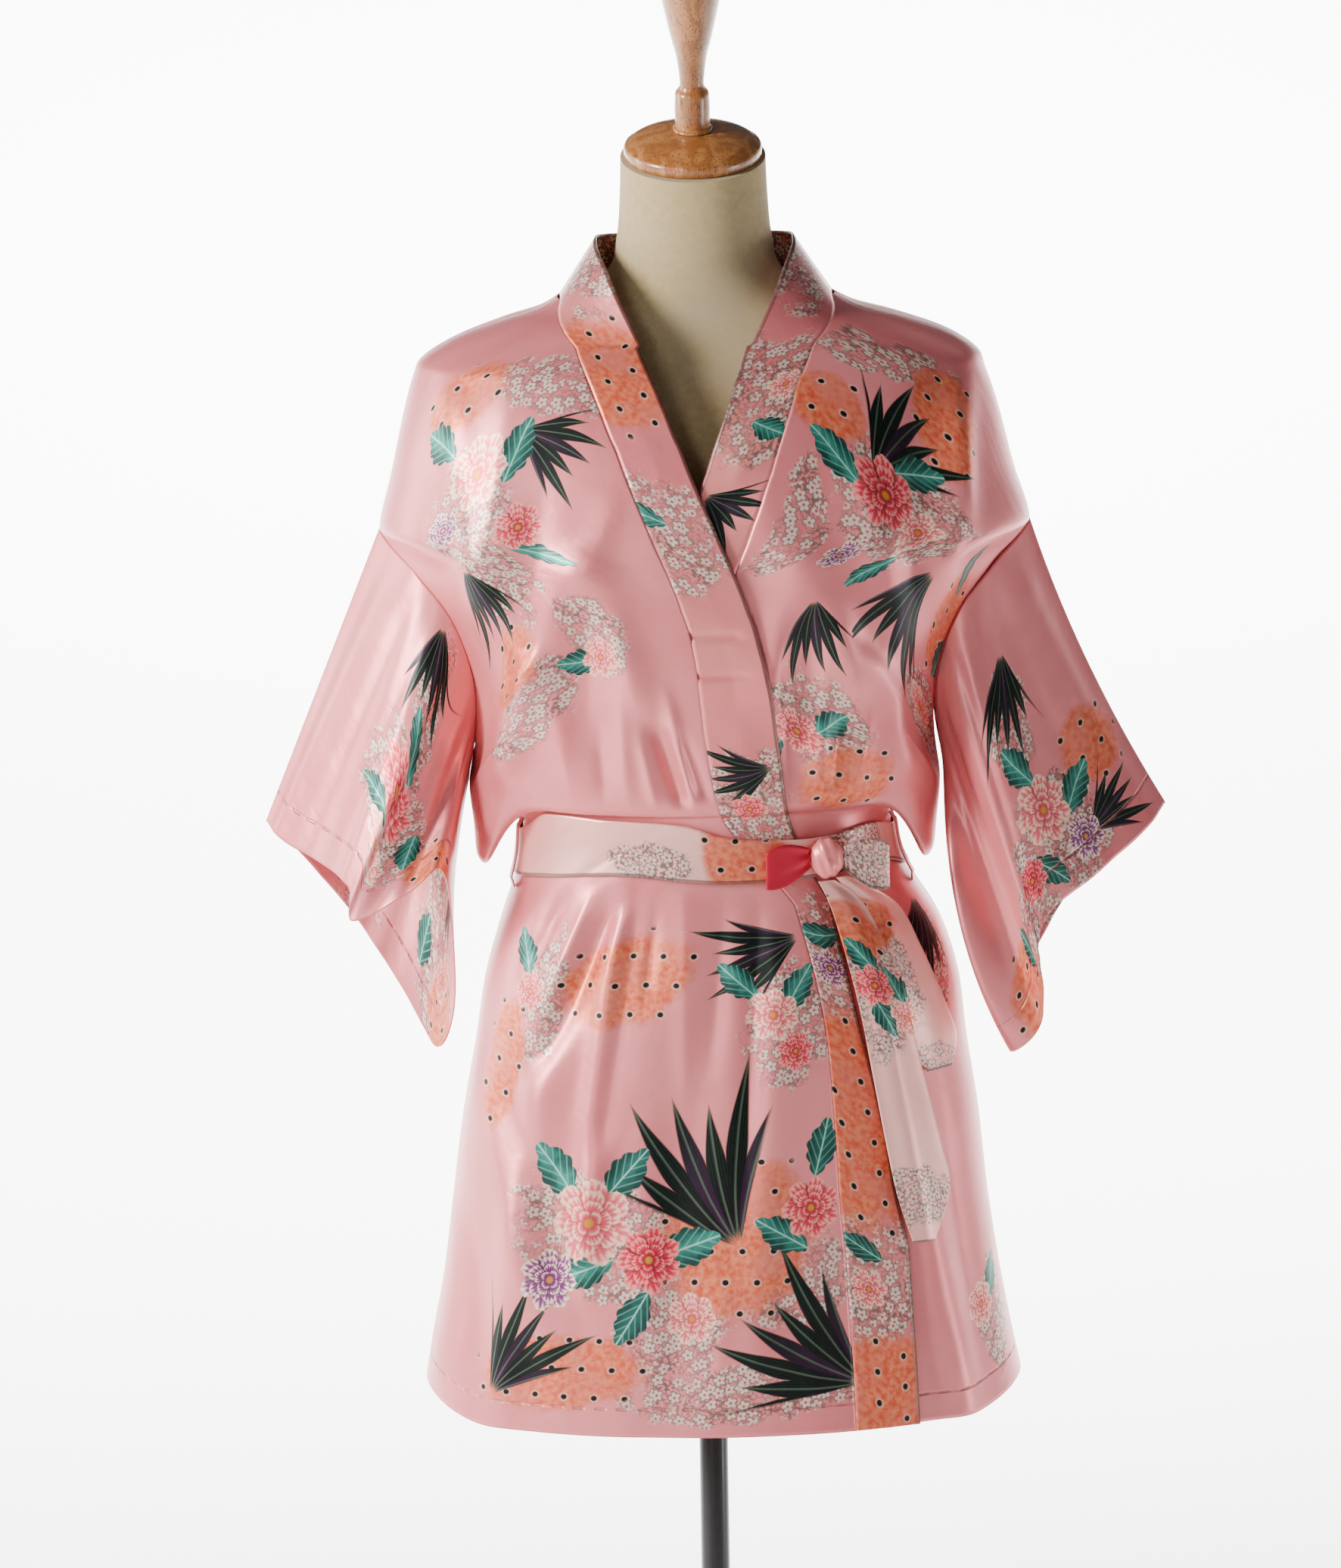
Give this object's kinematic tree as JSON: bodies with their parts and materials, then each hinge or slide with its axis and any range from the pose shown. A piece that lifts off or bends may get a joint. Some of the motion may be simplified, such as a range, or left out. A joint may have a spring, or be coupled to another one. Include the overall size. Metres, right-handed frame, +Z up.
{
  "type": "short satin kimono robe with tied belt, on a limbless dress form and stand",
  "caption": "Short satin kimono robe with wide open sleeves, wrapped front and tied belt, on a limbless linen dress form with wood cap, finial, pole and round base.",
  "frame": {"origin": "centre of the base's underside, on the floor", "axes": "+Z up the pole; the robe's front faces -Y; +X to the viewer's right"},
  "size_m": [0.68, 0.34, 1.6224],
  "materials": {
    "satin": "satin",
    "satin_belt": "satin",
    "linen": "matte",
    "wood": "varnished",
    "metal": "satin"
  },
  "bodies": {
    "root": {"back_panel": "satin", "front_upper": "satin", "front_lower": "satin", "sleeve_raised": "satin", "sleeve_hanging": "satin", "neckband": "satin", "belt": "satin_belt", "belt_loop_left": "satin", "belt_loop_right": "satin", "bow_loop_left": "satin_belt", "bow_loop_right": "satin_belt", "tail_front": "satin_belt", "tail_rear": "satin_belt", "knot": "satin_belt", "torso": "linen", "neck_cap": "wood", "finial": "wood", "pole": "metal", "base": "metal"}
  },
  "joints": []
}
